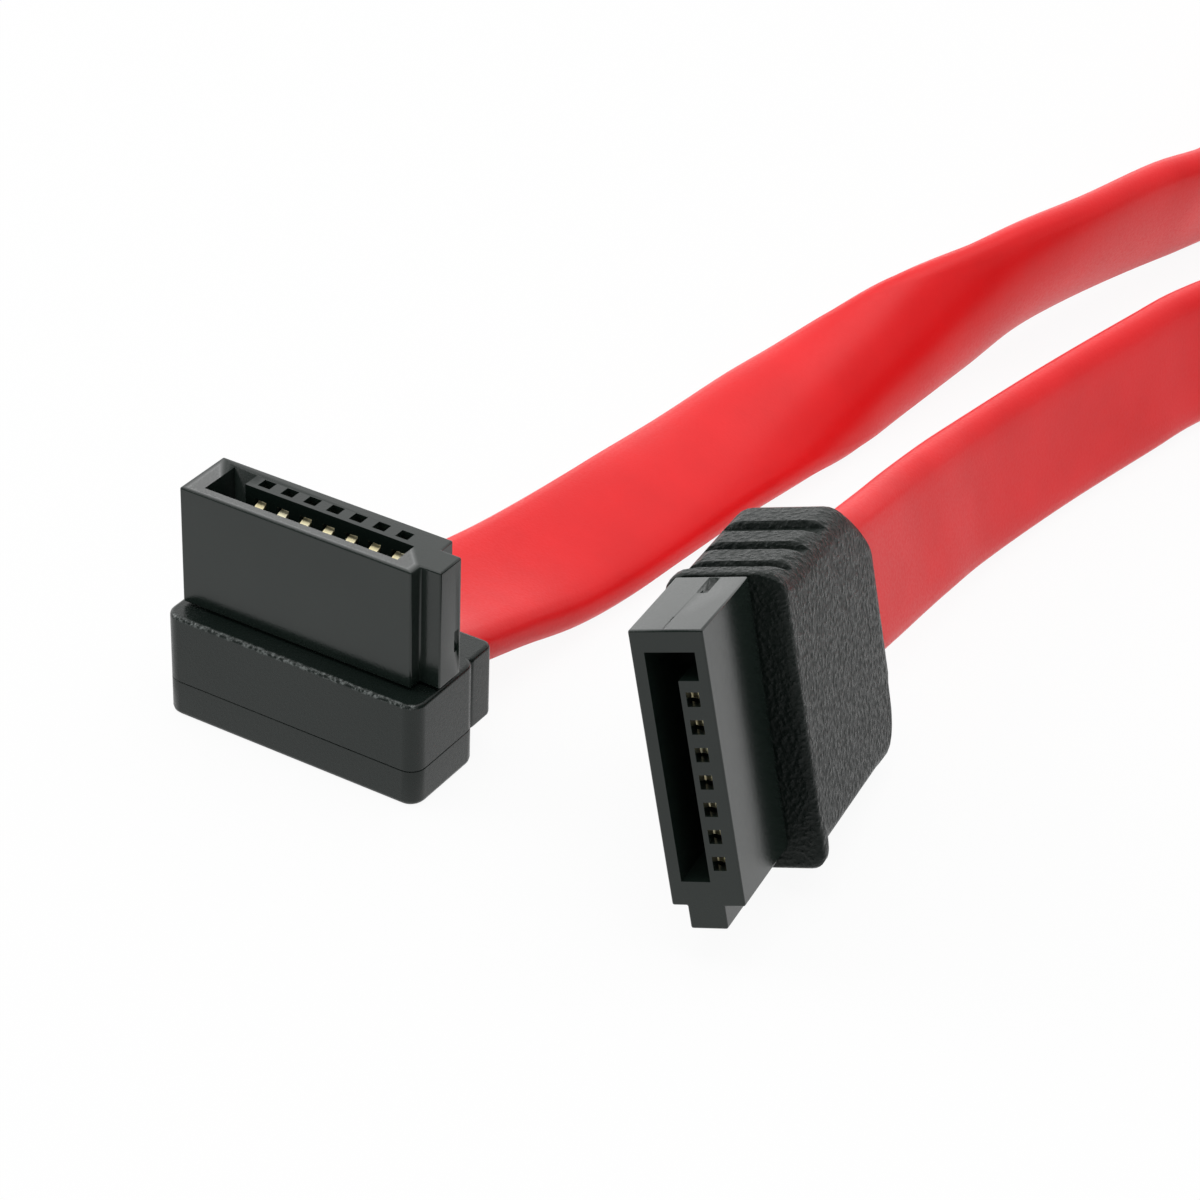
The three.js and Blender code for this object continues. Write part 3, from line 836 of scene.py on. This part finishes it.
# %% Right-angle plug: hood, collar and cover
hood_box = (-0.35, 13.85, -1.1, 3.95)
collar_box = (2.1, 13.65, 3.5, 5.55)
hood_top, hood_seam = -6.35, -9.94
cover_seam, cover_base = -9.97, -11.9
collar_base = -10.3
hood_corner, collar_corner = 0.8, 0.45
top_rim, seam_rim, cover_rim, collar_rim = 0.22, 0.03, 0.3, 0.2
front_rim_ends = -0.7
sharpest_corner = 0.05


def block_rows(z_low, z_high, box, corner, low_rim, high_rim, high_rub_glint=0.0):
    """Rings of a plain block with rounded rims; the upper one is rubbed by a share, painted lighter as
    wear and a glint.
    """
    rows = []
    for z, way, rim, rub_glint in ((z_low, 1, low_rim, 0.0), (z_high, -1, high_rim, high_rub_glint)):
        for turn in (0, 30, 60, 90)[::way]:
            angle = math.radians(turn)
            inset = rim * (1 - math.sin(angle))
            x0, x1, y0, y1 = box
            rows.append((z + way * rim * (1 - math.cos(angle)),
                         x0 + inset, x1 - inset, y0 + inset, y1 - inset,
                         max(corner - inset, sharpest_corner), 0.0, rub_glint if 0 < turn < 90 else 0.0))
    return rows


hood_mesh = skin(block_rows(hood_seam, hood_top, hood_box, hood_corner, seam_rim, top_rim, 1.0))
# Only the front rim keeps its rubbed share, which the finish paints as lighter spots: partly wear,
# partly a painted glint.
rim_layer = hood_mesh.verts.layers.float["rim"]
for vert in hood_mesh.verts:
    if vert.co.y > front_rim_ends:
        vert[rim_layer] = 0.0
collar_mesh = skin(block_rows(collar_base, hood_top, collar_box, collar_corner, collar_rim, top_rim))
cover_mesh = skin(block_rows(cover_base, cover_seam, hood_box, hood_corner, cover_rim, seam_rim))
for name, bm, replaced in (("angled_shell", hood_mesh, "angled_hood"),
                           ("angled_collar", collar_mesh, "angled_hood"),
                           ("angled_lid", cover_mesh, "angled_cover")):
    block = make_piece(name, bm, angled_place, hood_plastic, "grained_black", replaced)
    shade_smooth_by_angle(block, 40)
    print(name, len(block.data.polygons), "faces")

# %% [markdown]
# ## Pieces that stay as the CAD made them
# The contacts are seen only through the slots, and the cores and drain wires not at all, so their CAD
# meshes stay. Their names say what they are, so each gets the finish for its kind.

# %% Finishes of the CAD nodes that stay
finish_of = {"_contact_": gold_plating, "_core_": core_plastic, "_drain_": tinned_wire}
for kind, finish in finish_of.items():
    kept = [node for name, node in nodes.items() if kind in name]
    for node in kept:
        node.data.materials.clear()
        node.data.materials.append(finish)
    print(finish.name, "on", len(kept), "pieces")

# %% [markdown]
# ## The floor
# The product lies on a white sweep. The floor's shader is a plain white diffuse; where the camera or a
# reflection looks at it, a large share of plain white is mixed in, so that it reads as paper white and
# still keeps a faint shadow. Turning the lamps up would whiten the floor too, but it would bleach the
# cable.

# %% Floor
floor_half_width = 1.5
paper_share = 0.93
bm = bmesh.new()
bmesh.ops.create_grid(bm, x_segments=1, y_segments=1, size=floor_half_width)
floor_mesh = bpy.data.meshes.new("floor")
bm.to_mesh(floor_mesh)
bm.free()
floor = bpy.data.objects.new("floor", floor_mesh)
scene.collection.objects.link(floor)

floor_white = bpy.data.materials.new("floor_white")
floor_white.use_nodes = True
tree = floor_white.node_tree
tree.nodes.clear()
diffuse = add_node(tree, "BsdfDiffuse")
diffuse.inputs["Color"].default_value = (0.88, 0.88, 0.88, 1)
paper = add_node(tree, "Emission")
paper.inputs["Color"].default_value = (1, 1, 1, 1)
mix = add_node(tree, "MixShader")
output = add_node(tree, "OutputMaterial")
rays = add_node(tree, "LightPath")
reflected = math_node(tree, "MAXIMUM", rays.outputs["Is Glossy Ray"],
                      rays.outputs["Is Transmission Ray"])
looked_at = math_node(tree, "MAXIMUM", rays.outputs["Is Camera Ray"], reflected)
feed(tree, mix.inputs["Fac"], math_node(tree, "MULTIPLY", looked_at, paper_share))
feed(tree, mix.inputs[1], diffuse.outputs["BSDF"])
feed(tree, mix.inputs[2], paper.outputs["Emission"])
feed(tree, output.inputs["Surface"], mix.outputs["Shader"])
floor_mesh.materials.append(floor_white)
print("floor", 2 * floor_half_width, "m wide")

# %% [markdown]
# ## Light
# Small glossy black plastic shows its surroundings more than its own colour, so the light is what a
# photographer's light tent gives: one large soft lamp overhead and a weaker one from the left. Area
# lamps are used, because their size is what makes the shadows soft.


# %% Lamps
def soft_lamp(name, place, target, size, watts):
    """A square area lamp at a place, aimed at a target, in metres."""
    data = bpy.data.lights.new(name, "AREA")
    data.shape = "RECTANGLE"
    data.size = data.size_y = size
    data.energy = watts
    lamp = bpy.data.objects.new(name, data)
    aim = (Vector(target) - Vector(place)).to_track_quat("-Z", "Y")
    lamp.matrix_world = Matrix.Translation(place) @ aim.to_matrix().to_4x4()
    scene.collection.objects.link(lamp)
    print(name, watts, "W")


soft_lamp("overhead", (0.0, 0.05, 0.6), (0.01, 0.02, 0), 0.6, 2.0)
soft_lamp("left_window", (-0.5, -0.15, 0.35), (0.01, 0.0, 0), 0.4, 1.2)

# %% [markdown]
# ## The world
# The room is white behind the product and dimmer in front, where the camera stands, and the black
# faces mirror that: those that look back are lighter than those that look at us. So a reflection sees
# a strength that rises towards the back, the camera sees plain white, and the rest of the light that
# the world gives is even.

# %% World: a white sweep behind, a dimmer room in front
even_strength = 0.5
camera_strength = 1.0
towards_back = (-0.45, 0.8, -0.4)
sweep_span = (-0.6, 0.9)
reflected_span = (0.12, 1.75)
world = bpy.data.worlds.new("studio")
scene.world = world
world.use_nodes = True
tree = world.node_tree
background = tree.nodes["Background"]
background.inputs["Color"].default_value = (1, 1, 1, 1)
sky_way = add_node(tree, "TexCoord").outputs["Generated"]
how_far_back = add_node(tree, "VectorMath", operation="DOT_PRODUCT")
feed(tree, how_far_back.inputs[0], sky_way)
how_far_back.inputs[1].default_value = towards_back
sweep_light = map_range(tree, how_far_back.outputs["Value"], sweep_span, reflected_span)
rays = add_node(tree, "LightPath")
reflected = math_node(tree, "MAXIMUM", rays.outputs["Is Glossy Ray"],
                      rays.outputs["Is Transmission Ray"])
room = mix_node(tree, "FLOAT", reflected, even_strength, sweep_light)
shown = mix_node(tree, "FLOAT", rays.outputs["Is Camera Ray"], room, camera_strength)
feed(tree, background.inputs["Strength"], shown)
scene.view_settings.view_transform = "Standard"
print("world:", world.name)
